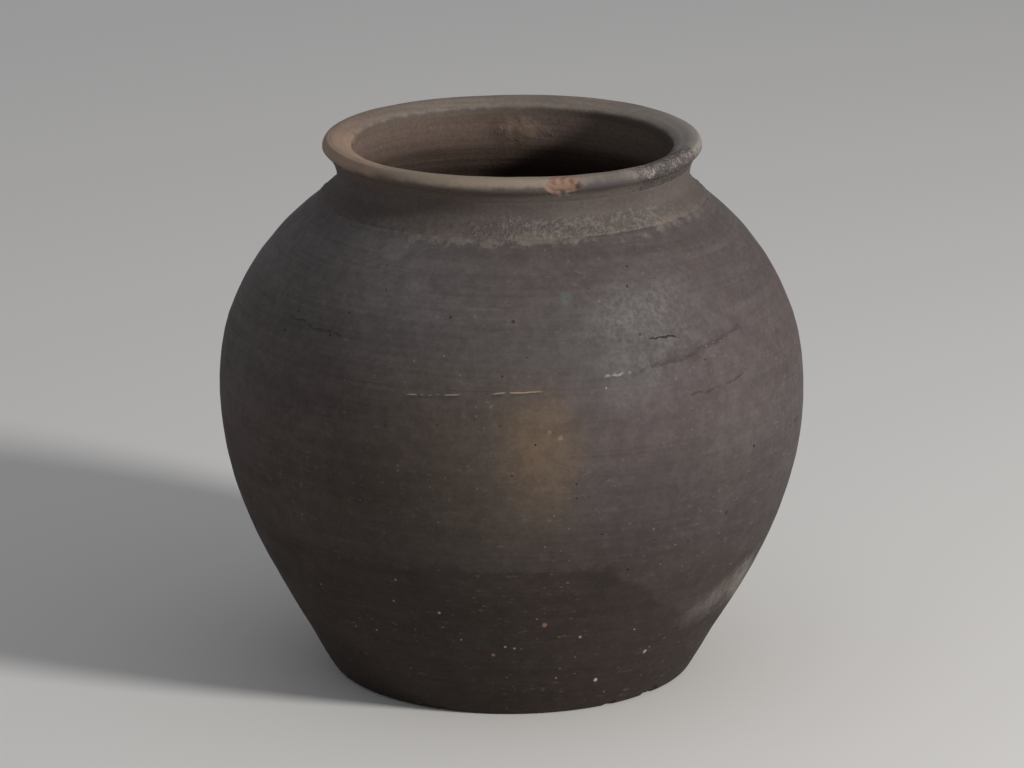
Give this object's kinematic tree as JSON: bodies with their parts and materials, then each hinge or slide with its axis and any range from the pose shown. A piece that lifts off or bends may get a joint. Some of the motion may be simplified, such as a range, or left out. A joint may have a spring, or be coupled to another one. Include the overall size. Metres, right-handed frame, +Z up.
{
  "type": "clay pot",
  "caption": "Wide round-bellied black clay pot with a short neck and a thick rolled rim, open at the top, with a flat foot to stand on.",
  "frame": {"origin": "centre of the foot, on the surface that the pot stands on", "axes": "+Z up along the pot's axis of turning; -Y is the side with the rim chip"},
  "size_m": [0.285, 0.285, 0.264],
  "materials": {
    "smoked_clay": "matte, unburnished, smoke-blackened",
    "rim_clay": "matte, rubbed and dusty"
  },
  "bodies": {
    "root": {"base_disc": "smoked_clay", "lower_course": "smoked_clay", "belly_course": "smoked_clay", "shoulder_course": "smoked_clay", "neck_collar": "smoked_clay", "rim_roll": "rim_clay"}
  },
  "joints": []
}
